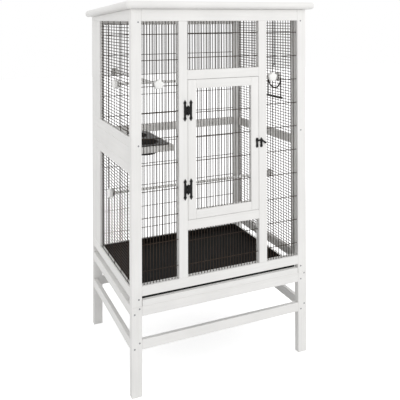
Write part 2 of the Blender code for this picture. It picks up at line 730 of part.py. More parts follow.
def build_drawer():
    """The cleaning drawer: a shallow tray behind a painted strip."""
    slide = joint_empty("drawer_axis", (0, FRONT, STAND_H))
    x = (LEFT + POST_W + TRAY_SIDE_GAP, RIGHT - POST_W - TRAY_SIDE_GAP)
    z = (STAND_H + FIT, STAND_H + FIT + TRAY_H)
    strip = board("drawer_front", x, (FRONT, FRONT + STRIP_T), (z[0], z[0] + STRIP_H))
    hang_on(strip, slide)

    y = (FRONT + STRIP_T + FIT, BACK - BACK_T - TRAY_BACK_GAP)
    bm = bmesh.new()
    inset = TRAY_RIM
    body_top = z[1] - TRAY_WALL / 2
    add_box(bm, (x[0] + inset, y[0] + inset, z[0]), (x[1] - inset, y[1] - inset, body_top))
    tray = add_object("tray", bm, "black_plastic")
    rim = bmesh.new()
    add_box(rim, (x[0], y[0], z[1] - TRAY_WALL), (x[1], y[1], z[1]))
    combine(tray, add_object("tray_rim", rim), "UNION")
    hollow = bmesh.new()
    wall = inset + TRAY_WALL
    low = (x[0] + wall, y[0] + wall, z[0] + TRAY_WALL)
    add_box(hollow, low, (x[1] - wall, y[1] - wall, z[1] + TRAY_WALL))
    combine(tray, add_object("tray_hollow", hollow), "DIFFERENCE")
    hang_on(tray, slide)


def perch(name, axis, ends, screws):
    """A rod between two grilles along an axis. ends are the planes of the grilles.

    At each end a flange lies on the bars from inside, and a star knob outside draws it tight with
    a screw that passes between two bars. screws are the screws' places across the axis.
    """
    axis = Vector(axis)
    middle = (screws[0] + screws[1]) / 2 + axis * (ends[0] + ends[1]) / 2
    length = ends[1] - ends[0] - 2 * WIRE_FACE
    bm = bmesh.new()
    add_cylinder(bm, (0, 0, 0), axis, PERCH_R, length - FLANGE_T, 12)
    obj = add_object(name, bm, "white_plastic", middle)
    for label, sign, screw in (("start", -1, screws[0]), ("end", 1, screws[1])):
        outward = sign * axis
        face = outward * length / 2
        flange = bmesh.new()
        add_cylinder(flange, face - outward * FLANGE_T / 2, axis, FLANGE_R, FLANGE_T, 12)
        combine(obj, add_object(f"{name}_flange_{label}", flange, None, middle), "UNION")
        aside = screw - (screws[0] + screws[1]) / 2
        screw_l = 2 * WIRE_FACE + FLANGE_T
        shank = bmesh.new()
        add_cylinder(shank, aside + face + outward * WIRE_FACE, axis, SCREW_R, screw_l, 8)
        combine(obj, add_object(f"{name}_screw_{label}", shank, None, middle), "UNION")
        knob = bmesh.new()
        add_star(knob, aside + face + outward * 2 * WIRE_FACE, outward)
        combine(obj, add_object(f"{name}_knob_{label}", knob, None, middle), "UNION")
    return obj


def build_perches():
    """Two perches across the cage and one along its left side, each between the bars' gaps."""
    sides = (LEFT + SIDE_GRILLE_IN, RIGHT - SIDE_GRILLE_IN)
    across = (
        ("perch_high", HIGH_PERCH_Y, HIGH_PERCH_Z, LEFT_HIGH_V, RIGHT_HIGH_V),
        ("perch_low", LOW_PERCH_Y, LOW_PERCH_Z, LEFT_LOW_V, RIGHT_LOW_V),
    )
    for name, y, z, left_v, right_v in across:
        screws = [Vector((0, y, gap_near(v, z))) for v in (left_v, right_v)]
        perch(name, (1, 0, 0), sides, screws)
    ends = (FRONT + FRONT_GRILLE_IN, BACK - BACK_GRILLE_IN)
    screws = [Vector((gap_near(u, SIDE_PERCH_X), 0, SIDE_PERCH_Z)) for u in (FRONT_LEFT_U, BACK_U)]
    perch("perch_side", (0, 1, 0), ends, screws)


def swing_arch():
    """Middle line of the swing's arch: two legs, two quarter curves and a straight top."""
    half = SWING_W / 2
    flat = HANGER_EYE_W
    steps = 6
    left = [(0, -half, -SWING_H)]
    for i in range(steps + 1):
        angle = math.pi / 2 * i / steps
        y = -flat - (half - flat) * math.cos(angle)
        left.append((0, y, SWING_ARCH * (math.sin(angle) - 1)))
    return left + [(x, -y, z) for x, y, z in reversed(left)]


def build_swing():
    """A swing on an arch, which turns in the eye of a rod from the roof."""
    top = Vector((SWING_X, SWING_Y, SWING_Z))
    roof_under = roof_z(SWING_Y) - FIT
    hanger = bmesh.new()
    add_cylinder(hanger, (0, 0, 0), (0, 1, 0), HANGER_EYE_R, HANGER_EYE_W)
    eye = add_object("swing_hanger", hanger, "iron", top)
    fall = (ROOF_BACK_Z - ROOF_FRONT_Z) / BODY_D * HANGER_PLATE_R
    plate_z = roof_under - SWING_Z + fall - HANGER_PLATE_T / 2
    rod_low = (HANGER_EYE_R + SWING_WIRE_R) / 2
    rod_l = plate_z - rod_low
    rod = bmesh.new()
    add_cylinder(rod, (0, 0, rod_low + rod_l / 2), (0, 0, 1), HANGER_R, rod_l, 8)
    combine(eye, add_object("swing_hanger_rod", rod, None, top), "UNION")
    plate = bmesh.new()
    add_cylinder(plate, (0, 0, plate_z), (0, 0, 1), HANGER_PLATE_R, HANGER_PLATE_T)
    combine(eye, add_object("swing_hanger_plate", plate, None, top), "UNION")
    bore = bmesh.new()
    add_cylinder(bore, (0, 0, 0), (0, 1, 0), SWING_WIRE_R + FIT, HANGER_EYE_W * 2)
    combine(eye, add_object("swing_hanger_bore", bore, None, top), "DIFFERENCE")

    pivot = joint_empty("swing_axis", top)
    bm = bmesh.new()
    add_sweep(bm, swing_arch(), SWING_WIRE_R, 8)
    arch = add_object("swing", bm, "black_plastic", top)
    bar = bmesh.new()
    bar_l = SWING_W + 2 * SWING_BAR_OVER
    add_cylinder(bar, (0, 0, -SWING_H), (0, 1, 0), SWING_BAR_R, bar_l, 12)
    tool = add_object("swing_bar", bar, None, top)
    combine(arch, tool, "UNION")
    hang_on(arch, pivot)
    hang_on(tool, pivot)


def build_feeding():
    """The side panel with its shelf, and a double bowl that drops into the shelf."""
    panel_y = (FRONT + POST_D + FIT, BACK - POST_D - FIT)
    panel_z = (PANEL_Z + FIT, PANEL_Z + PANEL_H - FIT)
    obj = board("feeding_board", (LEFT, LEFT + SIDE_T), panel_y, panel_z)
    shelf_x = (LEFT + SIDE_T / 2, LEFT + SIDE_T + SHELF_W)
    shelf_y = (FRONT + POST_D + SHELF_FRONT, FRONT + POST_D + SHELF_FRONT + SHELF_L)
    shelf_top = SHELF_Z + SHELF_T
    shelf = bmesh.new()
    add_box(shelf, (shelf_x[0], shelf_y[0], SHELF_Z), (shelf_x[1], shelf_y[1], shelf_top))
    tool = add_object("feeding_board_shelf", shelf)
    ease_edges(tool, ARRIS)
    combine(obj, tool, "UNION")

    bowl_x = LEFT + SIDE_T + SHELF_W / 2
    middle_y = (shelf_y[0] + shelf_y[1]) / 2
    centre = Vector((bowl_x, middle_y, shelf_top + FIT))
    holes = bmesh.new()
    cups = bmesh.new()
    hollows = bmesh.new()
    inner_r = BOWL_R - BOWL_WALL
    inner_bottom_r = BOWL_BOTTOM_R - BOWL_WALL
    inner_depth = BOWL_DEPTH - BOWL_WALL
    for side in (-1, 1):
        y = side * BOWL_SPACING / 2
        add_cylinder(holes, (0, y, -SHELF_T / 2), (0, 0, 1), BOWL_R + 2 * FIT, SHELF_T * 2, BOWL_SIDES)
        cup_h = BOWL_DEPTH + BOWL_FLANGE_T / 2
        cup_z = cup_h / 2 - BOWL_DEPTH
        add_cylinder(cups, (0, y, cup_z), (0, 0, 1), BOWL_BOTTOM_R, cup_h, BOWL_SIDES, BOWL_R)
        hollow_h = inner_depth + BOWL_FLANGE_T * 2
        hollow_z = hollow_h / 2 - inner_depth
        hollow_at = (0, y, hollow_z)
        add_cylinder(hollows, hollow_at, (0, 0, 1), inner_bottom_r, hollow_h, BOWL_SIDES, inner_r)
    combine(obj, add_object("feeding_board_holes", holes, None, centre), "DIFFERENCE")

    flange = bmesh.new()
    half_w = BOWL_FLANGE_W / 2
    half_l = BOWL_FLANGE_L / 2
    add_box(flange, (-half_w, -half_l, 0), (half_w, half_l, BOWL_FLANGE_T))
    bowls = add_object("feeding_bowls", flange, "black_plastic", centre)
    ease_edges(bowls, 1.0 * MM)
    combine(bowls, add_object("feeding_bowls_cups", cups, None, centre), "UNION")
    combine(bowls, add_object("feeding_bowls_hollows", hollows, None, centre), "DIFFERENCE")


def main():
    clear_scene()
    build_stand()
    posts = build_posts()
    build_front(posts)
    build_back(posts)
    build_side("left", LEFT, 1, posts)
    build_side("right", RIGHT, -1, posts)
    build_roof()
    build_door()
    build_drawer()
    build_perches()
    build_swing()
    build_feeding()


main()
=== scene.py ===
"""The looks of the indoor aviary: painted pine, welded wire, cast hardware and moulded plastic.

Metres, in the frame of the CAD model: +Z up, the front towards -Y.
"""
import math

import bmesh
import bpy
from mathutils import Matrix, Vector


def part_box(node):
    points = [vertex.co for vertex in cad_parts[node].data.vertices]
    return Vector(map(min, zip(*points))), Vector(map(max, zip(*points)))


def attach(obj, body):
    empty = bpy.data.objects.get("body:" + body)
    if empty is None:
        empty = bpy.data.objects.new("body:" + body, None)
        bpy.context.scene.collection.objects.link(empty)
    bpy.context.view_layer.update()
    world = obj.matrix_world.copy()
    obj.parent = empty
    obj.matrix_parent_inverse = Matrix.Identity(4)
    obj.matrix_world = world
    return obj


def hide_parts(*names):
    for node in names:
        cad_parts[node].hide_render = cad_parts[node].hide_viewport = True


MM = 0.001
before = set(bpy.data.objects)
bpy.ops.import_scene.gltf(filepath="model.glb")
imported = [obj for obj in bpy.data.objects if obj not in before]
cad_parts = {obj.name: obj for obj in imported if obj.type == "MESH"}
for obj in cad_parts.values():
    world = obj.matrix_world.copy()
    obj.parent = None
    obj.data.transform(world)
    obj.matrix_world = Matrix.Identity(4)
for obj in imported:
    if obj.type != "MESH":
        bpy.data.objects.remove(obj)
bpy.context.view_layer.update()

# Camera, fitted to the photograph: focal length in pixels of its 400 pixel frame
PHOTO_PX = 400
FOCAL_PX = 582.24
HORIZON_PX = 15.55
SENSOR_MM = 36
CAMERA_AT = (-1072.4 * MM, -2458.0 * MM, 1462.6 * MM)
CAMERA_YAW = 24.104
CAMERA_TILT = 90.230
CAMERA_ROLL = 0.184

# Grilles: a groove hides the border, and the opening is that much smaller than the grille. The wire is
# 2 mm thick in the solids and 3 mm here, which comes closer to its tone in the photograph. What clamps
# a grille lies WIRE_FACE off its middle plane
GRILLE_TUCK = 5.7 * MM
WIRE_R = 1.5 * MM
BORDER_R = 1.8 * MM
WIRE_PITCH = 13 * MM
CROSS_PITCH = 100 * MM
WELD_SINK = 0.55 * MM
WIRE_FACE = 2.45 * MM

# Upright boards beside a post, given as the distances of their edges from that post
LEFT_BACK_BOARDS = (0, 54.7 * MM, 120.7 * MM)
RIGHT_FRONT_BOARDS = (0, 67.7 * MM)
BOARD_T = 18 * MM

# Timber. The streaks along its grain, a bump with painted shade in its colour, are drawn coarser than
# real, so that they show
STREAK_W = 9 * MM
STREAK_L = 220 * MM
ROOF_FALL = 30 / 628
ROOF_NOSE = 14 * MM
EASED = 1.4 * MM
DOOR_MEMBER_W = 36 * MM
GROOVE_D = 6 * MM
GROOVE_HALF = 2.7 * MM
BUTT_GAP = 0.15 * MM

# Hinges: the bar of a leaf and the barb of its spears, as shares of its width and half its height
LEAF_T = 2.5 * MM
LEAF_BAR = (0.42, 0.88)
LEAF_BAR_UP = 0.62
LEAF_BARB = 0.70
KNUCKLE_R = 3.6 * MM
KNUCKLE_H = 33 * MM
RUNNING_GAP = 0.3 * MM
PIN_R = 1.6 * MM
FINIAL_UP = 1.2 * MM
HINGE_RIVET_R = 2.4 * MM

# Latch: the lever turns on the door plate's stud and lies on the keeper's rest
LATCH_PLATE_T = 2 * MM
PIVOT_UP = 10 * MM
STUD_R = 3 * MM
STUD_HEAD_R = 5 * MM
STUD_HEAD_T = 2 * MM
LEVER_W = 6.4 * MM
LEVER_T = 3 * MM
LEVER_EYE_R = 5.6 * MM
LEVER_BEND = 20.8 * MM
KNOB_OUT = 36.8 * MM
KNOB_DROP = 11 * MM
KNOB_R = 4.5 * MM
KNOB_T = 9 * MM
KNOB_PROUD = 7.5 * MM
REST_W = 4.8 * MM
REST_T = 3 * MM
REST_UP = 6.5 * MM
RIVET_R = 2.2 * MM
RIVETS_UP = {"latch_plate": (-14 * MM, 17 * MM), "latch_keeper": (-14 * MM, 12.5 * MM)}
# From foot to top, as shares of the height and of the width: round ends with a slim waist, and a spear
DOOR_PLATE_OUTLINE = (
    (0, 0.45), (0.04, 0.78), (0.11, 1), (0.22, 1), (0.33, 0.8), (0.58, 0.8),
    (0.68, 1), (0.89, 1), (0.96, 0.78), (1, 0.45),
)
KEEPER_OUTLINE = (
    (0, 0.45), (0.04, 0.78), (0.11, 1), (0.24, 1), (0.34, 0.8), (0.6, 0.8),
    (0.68, 1), (0.84, 0.9), (0.93, 0.5), (1, 0.1),
)

# Perches: a flange inside and a star knob outside clamp the grille between them
PERCH_R = 6 * MM
PERCH_SIDE_OFF = 2 * MM
FLANGE_R = 16 * MM
FLANGE_T = 5 * MM
CLAMP_SCREW_R = 2.5 * MM
STAR_R = 19 * MM
STAR_LOBES = 5
STAR_LOBE = 2 * MM
STAR_T = 16 * MM
STAR_CROWN = 5 * MM
STAR_ROUND = 6.2 * MM
# The clamp without a perch on the right front grille, as (x, z)
FRONT_CLAMP = (233.5 * MM, 1211 * MM)

# Swing: an arch with a bar, hung in the eye of a rod from the roof
ARCH_R = 3 * MM
ARCH_HALF = 54 * MM
ARCH_FLAT = 5 * MM
SWING_BAR_R = 5 * MM
EYE_R = 4.9 * MM
EYE_WIRE_R = 1.55 * MM
STEM_R = 1.8 * MM
ROOF_PLATE_R = 14 * MM
ROOF_PLATE_T = 3 * MM
ROOF_SCREW_OUT = 9 * MM

# Bowls: two cups in one flange, each with a rolled lip
CUP_OUT = 73 * MM
CUP_FLOOR_R = 46 * MM
CUP_TOP_R = 58 * MM
CUP_WALL = 2.5 * MM
CUP_FLOOR_T = 3.5 * MM
CUP_SUNK = 1 * MM
CUP_HOLE_R = 55.4 * MM
LIP_R = 56.6 * MM
LIP_ROLL_R = 1.5 * MM
BOWL_FLANGE_T = 3 * MM
BOWL_CORNER_R = 16 * MM

# Tray: it rides TRAY_LIFT over the front apron, so that it slides free
TRAY_LIFT = 0.4 * MM
TRAY_RIM = 5 * MM
TRAY_WALL = 1.8 * MM
TRAY_CORNER_R = 14 * MM
TRAY_FOOT_R = 4 * MM

# Screws that show on the front, as (x, z) in millimetres, and their heads
FRONT_SCREWS = (
    (-371, 1449), (374, 1451), (-371, 969), (374, 972),
    (-371, 376), (-368, 340), (-368, 208), (-388, 321), (-388, 188),
    (371, 378), (388, 344), (371, 321), (388, 211), (371, 190),
)
SCREW_R = 3.2 * MM
SCREW_T = 0.6 * MM

# Light: the white room as it lights the object, what the camera sees on the floor, and a soft lamp
WORLD_LIGHT = 0.9
FLOOR_LIFT = 0.62
KEY_AT = (1.6, -3.2, 2.6)
KEY_TARGET = (0, 0, 0.8)
KEY_SIZE = 2.2
KEY_POWER = 24


def hex_colour(code):
    """A linear colour with alpha from an sRGB hex value."""
    parts = [int(code[i:i + 2], 16) / 255 for i in (0, 2, 4)]
    linear = [p / 12.92 if p <= 0.04045 else ((p + 0.055) / 1.055) ** 2.4 for p in parts]
    return (*linear, 1)


def add_node(tree, kind, settings=None, links=None):
    """Adds a node. settings go to its sockets or properties, links name the sockets that feed it."""
    node = tree.nodes.new(kind)
    for key, value in (settings or {}).items():
        if key in node.inputs:
            node.inputs[key].default_value = value
        else:
            setattr(node, key, value)
    for key, source in (links or {}).items():
        tree.links.new(source, node.inputs[key])
    return node


def new_material(name):
    """A new material with its node tree and its shader."""
    material = bpy.data.materials.new(name)
    material.use_nodes = True
    tree = material.node_tree
    return material, tree, tree.nodes["Principled BSDF"]


def painted_pine(name, grain, face="F2F1EF", shade="ECEBE9"):
    """Pine planed smooth and sprayed with white water-borne lacquer.

    The paint hides the colour of the wood, but the grain still stands up a little under it. Its relief
    is a bump, and the light breaking on it is also painted into the colour as faint darker streaks of
    painted shade along the board; thin spots look a little greyer.
    """
    material, tree, shader = new_material(name)
    coords = add_node(tree, "ShaderNodeTexCoord")
    streak = [1 / STREAK_W] * 3
    streak["XYZ".index(grain)] = 1 / STREAK_L
    along = add_node(
        tree, "ShaderNodeMapping", {"Scale": streak}, {"Vector": coords.outputs["Object"]})
    grain_noise = add_node(
        tree, "ShaderNodeTexNoise", {"Scale": 1.0, "Detail": 3.0, "Roughness": 0.6},
        {"Vector": along.outputs["Vector"]})
    cloud = add_node(
        tree, "ShaderNodeTexNoise", {"Scale": 7.0, "Detail": 2.0},
        {"Vector": coords.outputs["Object"]})
    # Low values take the darker colour: painted shade in the grain streaks, and greyer thin paint in
    # the cloud
    streak_shade_and_thin_paint = add_node(tree, "ShaderNodeMath", {"operation": "MULTIPLY"})
    tree.links.new(grain_noise.outputs["Fac"], streak_shade_and_thin_paint.inputs[0])
    tree.links.new(cloud.outputs["Fac"], streak_shade_and_thin_paint.inputs[1])
    ramp = add_node(tree, "ShaderNodeValToRGB", None, {"Fac": streak_shade_and_thin_paint.outputs["Value"]})
    ramp.color_ramp.elements[0].position = 0.12
    ramp.color_ramp.elements[0].color = hex_colour(shade)
    ramp.color_ramp.elements[1].position = 0.34
    ramp.color_ramp.elements[1].color = hex_colour(face)
    tree.links.new(ramp.outputs["Color"], shader.inputs["Base Color"])
    rough = add_node(
        tree, "ShaderNodeMapRange", {"To Min": 0.36, "To Max": 0.52},
        {"Value": grain_noise.outputs["Fac"]})
    tree.links.new(rough.outputs["Result"], shader.inputs["Roughness"])
    bump = add_node(
        tree, "ShaderNodeBump", {"Strength": 0.22, "Distance": 0.18 * MM},
        {"Height": grain_noise.outputs["Fac"]})
    tree.links.new(bump.outputs["Normal"], shader.inputs["Normal"])
    shader.inputs["IOR"].default_value = 1.5
    return material


def speckled(name, base, fleck, size, rough, bump_height, metallic=0.0, ior=1.5):
    """A surface with a fine grit of its own size: powder coat, cast lacquer, plastic or plating."""
    material, tree, shader = new_material(name)
    coords = add_node(tree, "ShaderNodeTexCoord")
    grit = add_node(
        tree, "ShaderNodeTexNoise", {"Scale": 1 / size, "Detail": 2.0},
        {"Vector": coords.outputs["Object"]})
    cloud = add_node(
        tree, "ShaderNodeTexNoise", {"Scale": 9.0, "Detail": 3.0},
        {"Vector": coords.outputs["Object"]})
    ramp = add_node(tree, "ShaderNodeValToRGB", None, {"Fac": cloud.outputs["Fac"]})
    ramp.color_ramp.elements[0].position = 0.35
    ramp.color_ramp.elements[0].color = hex_colour(base)
    ramp.color_ramp.elements[1].position = 0.65
    ramp.color_ramp.elements[1].color = hex_colour(fleck)
    tree.links.new(ramp.outputs["Color"], shader.inputs["Base Color"])
    roughness = add_node(
        tree, "ShaderNodeMapRange", {"To Min": rough[0], "To Max": rough[1]},
        {"Value": grit.outputs["Fac"]})
    tree.links.new(roughness.outputs["Result"], shader.inputs["Roughness"])
    bump = add_node(
        tree, "ShaderNodeBump", {"Strength": 0.4, "Distance": bump_height},
        {"Height": grit.outputs["Fac"]})
    tree.links.new(bump.outputs["Normal"], shader.inputs["Normal"])
    shader.inputs["Metallic"].default_value = metallic
    shader.inputs["IOR"].default_value = ior
    return material


def clear_selection():
    """Leaves edit mode and selects nothing."""
    if bpy.context.mode != "OBJECT":
        bpy.ops.object.mode_set(mode="OBJECT")
    bpy.ops.object.select_all(action="DESELECT")


def take(obj):
    """Makes one object the only one selected and the active one."""
    clear_selection()
    obj.select_set(True)
    bpy.context.view_layer.objects.active = obj
    return obj


def block(name, low, high):
    """A block cut to size, ready to be shaped."""
    clear_selection()
    low = Vector(low)
    high = Vector(high)
    bpy.ops.mesh.primitive_cube_add(size=1, location=(low + high) / 2)
    obj = bpy.context.object
    obj.name = name
    obj.scale = high - low
    bpy.ops.object.transform_apply(location=True, rotation=True, scale=True)
    return obj


def rod(name, centre, axis, radius, length, sides=8, rounded=0.5):
    """A round bar along X, Y or Z with its ends eased by a share of its radius."""
    clear_selection()
    turn = {"X": (0, math.pi / 2, 0), "Y": (math.pi / 2, 0, 0), "Z": (0, 0, 0)}[axis]
    bpy.ops.mesh.primitive_cylinder_add(
        vertices=sides, radius=radius, depth=length, location=centre, rotation=turn)
    obj = bpy.context.object
    obj.name = name
    bpy.ops.object.transform_apply(location=True, rotation=True, scale=True)
    if rounded:
        index = "XYZ".index(axis)
        ends = lambda edge: abs(edge.verts[0].co[index] - edge.verts[1].co[index]) < 1e-6
        pick(obj, "EDGE", ends)
        segments = 1 if sides <= 8 else 3
        bpy.ops.mesh.bevel(offset=radius * rounded, segments=segments, affect="EDGES")
        bpy.ops.object.mode_set(mode="OBJECT")
    return obj


def pick(obj, kind, test):
    """Opens an object for editing and selects its vertices, edges or faces that pass a test."""
    take(obj)
    bpy.ops.object.mode_set(mode="EDIT")
    bpy.ops.mesh.select_mode(type=kind)
    bpy.ops.mesh.select_all(action="DESELECT")
    bm = bmesh.from_edit_mesh(obj.data)
    items = {"VERT": bm.verts, "EDGE": bm.edges, "FACE": bm.faces}[kind]
    for item in items:
        if test(item):
            item.select_set(True)
    bm.select_flush_mode()
    bmesh.update_edit_mesh(obj.data)


def repick(obj, kind, test):
    """Selects again in an object that is already open for editing."""
    bpy.ops.object.mode_set(mode="OBJECT")
    pick(obj, kind, test)


def extrude(move, scale=None):
    """Pulls the selected faces or edges out, and then scales what was pulled."""
    bpy.ops.mesh.extrude_region_move(TRANSFORM_OT_translate={"value": move})
    if scale is not None:
        bpy.ops.transform.resize(value=scale)


def face_towards(direction, limit=0.9):
    """A test for faces whose normal points one way."""
    direction = Vector(direction).normalized()
    return lambda face: face.normal.dot(direction) > limit


def stands_upright(edge):
    """A test for edges that run up and down."""
    return abs((edge.verts[0].co - edge.verts[1].co).normalized().z) > 0.9


def ease(obj, width, segments=2, angle=0.5):
    """Rounds every sharp edge with a bevel that is then applied."""
    take(obj)
    modifier = obj.modifiers.new("eased", "BEVEL")
    modifier.width = width
    modifier.segments = segments
    modifier.limit_method = "ANGLE"
    modifier.angle_limit = angle
    bpy.ops.object.modifier_apply(modifier=modifier.name)


def repeat(obj, count, step):
    """Repeats a modelled piece in a row, as one mesh."""
    take(obj)
    modifier = obj.modifiers.new("row", "ARRAY")
    modifier.count = count
    modifier.use_relative_offset = False
    modifier.use_constant_offset = True
    modifier.constant_offset_displace = step
    bpy.ops.object.modifier_apply(modifier=modifier.name)
    return obj


def join(parts, name):
    """Joins parts into one object."""
    clear_selection()
    for part in parts:
        part.select_set(True)
    bpy.context.view_layer.objects.active = parts[0]
    bpy.ops.object.join()
    parts[0].name = name
    parts[0].data.name = name
    return parts[0]


def copy_of(obj, name, move):
    """A copy with its own mesh, moved in its mesh."""
    twin = obj.copy()
    twin.data = obj.data.copy()
    twin.name = name
    bpy.context.collection.objects.link(twin)
    for vert in twin.data.vertices:
        vert.co += Vector(move)
    return twin


def put(piece, body, material, nodes=(), smooth=35):
    """Finishes a piece: shading, material, the body that it rides on and the nodes it stands for."""
    take(piece)
    bpy.ops.object.shade_smooth_by_angle(angle=math.radians(smooth))
    bpy.ops.object.transform_apply(location=True, rotation=True, scale=True)
    piece.data.materials.clear()
    piece.data.materials.append(material)
    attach(piece, body)
    if nodes:
        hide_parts(*nodes)
    return piece


PAINT = {grain: painted_pine(f"white_lacquered_pine_{grain.lower()}", grain) for grain in "XYZ"}
# The stand gets a copy of the same lacquer made a touch darker: painted shade
STAND_LACQUER_PAINTED_SHADE = {
    grain: painted_pine(f"stand_pine_with_painted_shade_{grain.lower()}", grain, "F1F0EE", "EBEAE8")
    for grain in "XYZ"
}
# The black pieces have a lower index of refraction than real ones, or the white room would grey them.
# Wire dipped in black powder coat: a warm brown-black, satin, with a faint orange peel
WIRE_COAT = speckled(
    "black_powder_coated_wire", "2B2017", "382B20", 2 * MM, (0.5, 0.65), 0.05 * MM, ior=1.35)
# Cast zinc with black lacquer: small pits and soft gloss
CAST_BLACK = speckled(
    "black_lacquered_zinc", "0B0B0B", "141413", 1.2 * MM, (0.42, 0.58), 0.12 * MM, ior=1.35)
# Vacuum-formed polystyrene: a dull black with a leathery grit
TRAY_BLACK = speckled(
    "black_formed_polystyrene", "0D0D0D", "141414", 2.2 * MM, (0.6, 0.75), 0.12 * MM, ior=1.2)
# Moulded polypropylene of the bowls and swing: smooth, glossier
MOULDED_BLACK = speckled(
    "black_moulded_polypropylene", "121213", "19191A", 3 * MM, (0.3, 0.42), 0.03 * MM, ior=1.4)
# Moulded polypropylene of the perches: white, slightly waxy
MOULDED_WHITE = speckled(
    "white_moulded_polypropylene", "F8F8F6", "FCFCFA", 4 * MM, (0.3, 0.4), 0.04 * MM)
# Zinc-plated steel of the screws: a dull grey metal
ZINC = speckled(
    "zinc_plated_steel", "8F9093", "A3A4A6", 1 * MM, (0.32, 0.45), 0.02 * MM, metallic=1.0)


def finish_timber():
    """Gives each board that stays from the CAD model paint with the grain along it."""
    for name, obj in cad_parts.items():
        timber = name.startswith(
            ("stand", "post", "front_", "back_", "left_", "right_", "drawer_front"))
        if "grille" in name or not (timber or name == "feeding_board"):
            continue
        low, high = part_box(name)
        size = [b - a for a, b in zip(low, high)]
        grain = "XYZ"[size.index(max(size))]
        paints = STAND_LACQUER_PAINTED_SHADE if name.startswith("stand") else PAINT
        obj.data.materials.clear()
        obj.data.materials.append(paints[grain])


def make_roof():
    """The roof board, with its edges rounded over to a nose."""
    low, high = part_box("roof")
    fall = ROOF_FALL * (high[1] - low[1])
    roof = block("roof_board", (low[0], low[1], low[2] + fall), high)
    pick(roof, "VERT", lambda vert: vert.co.y > 0)
    bpy.ops.transform.translate(value=(0, 0, -fall))
    bpy.ops.object.mode_set(mode="OBJECT")
    ease(roof, ROOF_NOSE, 7)
    put(roof, "cage", PAINT["X"], ("roof",), 50)


def cross_places(span, from_edge):
    """Number, pitch and first distance of the cross wires. from_edge is that distance in pitches."""
    parts = max(round((span[1] - span[0]) / CROSS_PITCH), 1)
    count = parts + 1 - round(2 * from_edge)
    return count, (span[1] - span[0]) / parts, from_edge * (span[1] - span[0]) / parts


def bar_places(span):
    """Number, pitch and first distance of the close bars between two edges."""
    count = max(round((span[1] - span[0]) / WIRE_PITCH) - 1, 1)
    step = (span[1] - span[0]) / (count + 1)
    return count, step, step


def grille_wires(name, side, low, high, from_edge):
    """A welded grille inside the box of its CAD node: close bars, cross wires and a border.

    The close bars lie level in a side of the cage and stand upright in its front, door and back.
    """
    u, w = (1, 0) if side else (0, 1)
    plane = (low[w] + high[w]) / 2
    outward = -1 if plane < 0 else 1
    opening = [(low[i] + GRILLE_TUCK, high[i] - GRILLE_TUCK) for i in (u, 2)]
    edge = ((low[u] + BORDER_R, high[u] - BORDER_R), (low[2] + BORDER_R, high[2] - BORDER_R))
    apart = WIRE_R - WELD_SINK

    def point(along, through, up):
        spot = [0, 0, up]
        spot[u] = along
        spot[w] = through
        return tuple(spot)

    parts = []
    for layer, up in ((-apart, not side), (apart, side)):
        through = plane + outward * layer
        span = opening[0] if up else opening[1]
        reach = edge[1] if up else edge[0]
        count, step, start = bar_places(span) if layer < 0 else cross_places(span, from_edge)
        middle = (reach[0] + reach[1]) / 2
        at = span[0] + start
        first = point(at, through, middle) if up else point(middle, through, at)
        axis = "Z" if up else "XY"[u]
        wire = rod(f"{name}_wire", first, axis, WIRE_R, reach[1] - reach[0])
        parts.append(repeat(wire, count, point(step, 0, 0) if up else (0, 0, step)))
    wide, tall = [high_edge - low_edge for low_edge, high_edge in edge]
    middle = [(low_edge + high_edge) / 2 for low_edge, high_edge in edge]
    for i in (0, 1):
        upright_at = point(edge[0][i], plane, middle[1])
        parts.append(rod(f"{name}_side", upright_at, "Z", BORDER_R, tall))
        level_at = point(middle[0], plane, edge[1][i])
        parts.append(rod(f"{name}_end", level_at, "XY"[u], BORDER_R, wide))
    return join(parts, name)


def make_grilles():
    """The welded wire of every grille, in the cage and in the door."""
    for node in sorted(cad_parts):
        if "grille" not in node:
            continue
        low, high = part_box(node)
        side = node.startswith(("left", "right"))
        body, from_edge = ("door", 1) if node == "door_grille" else ("cage", 0.5)
        wires = grille_wires(f"{node}_welded_wire", side, low, high, from_edge)
        put(wires, body, WIRE_COAT, (node,))


def make_side_boards():
    """Boards that close the back end of the left openings and the front end of the right ones."""
    for side, edges in (("left", LEFT_BACK_BOARDS), ("right", RIGHT_FRONT_BOARDS)):
        for level in ("lower", "upper"):
            low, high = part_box(f"{side}_grille_{level}")
            plane = (low[0] + high[0]) / 2
            for i, (near, far) in enumerate(zip(edges, edges[1:])):
                if side == "left":
                    y = (high[1] - GRILLE_TUCK - far, high[1] - GRILLE_TUCK - near)
                else:
                    y = (low[1] + GRILLE_TUCK + near, low[1] + GRILLE_TUCK + far)
                board = block(
                    f"{side}_{level}_board_{i}",
                    (plane - BOARD_T / 2, y[0], low[2] + GRILLE_TUCK),
                    (plane + BOARD_T / 2, y[1], high[2] - GRILLE_TUCK))
                ease(board, EASED, 3)
                put(board, "cage", PAINT["Z"])


def grooved_stick(name, low, high, inward, plane):
    """A door member with eased edges and a groove for the grille in its inner edge."""
    stick = block(name, low, high)
    axis = 0 if abs(inward[0]) > 0.5 else 2
    take(stick)
    bpy.ops.object.mode_set(mode="EDIT")
    for offset in (-GROOVE_HALF, GROOVE_HALF):
        bpy.ops.mesh.select_all(action="SELECT")
        bpy.ops.mesh.bisect(plane_co=(0, plane + offset, 0), plane_no=(0, 1, 0))
    near = lambda face: abs(face.calc_center_median().y - plane) < GROOVE_HALF * 0.5
    repick(stick, "FACE", lambda face: near(face) and face_towards(inward)(face))
    move = [0, 0, 0]
    move[axis] = -GROOVE_D * inward[axis]
    extrude(move)
    bpy.ops.object.mode_set(mode="OBJECT")
    ease(stick, EASED, 3)
    return stick


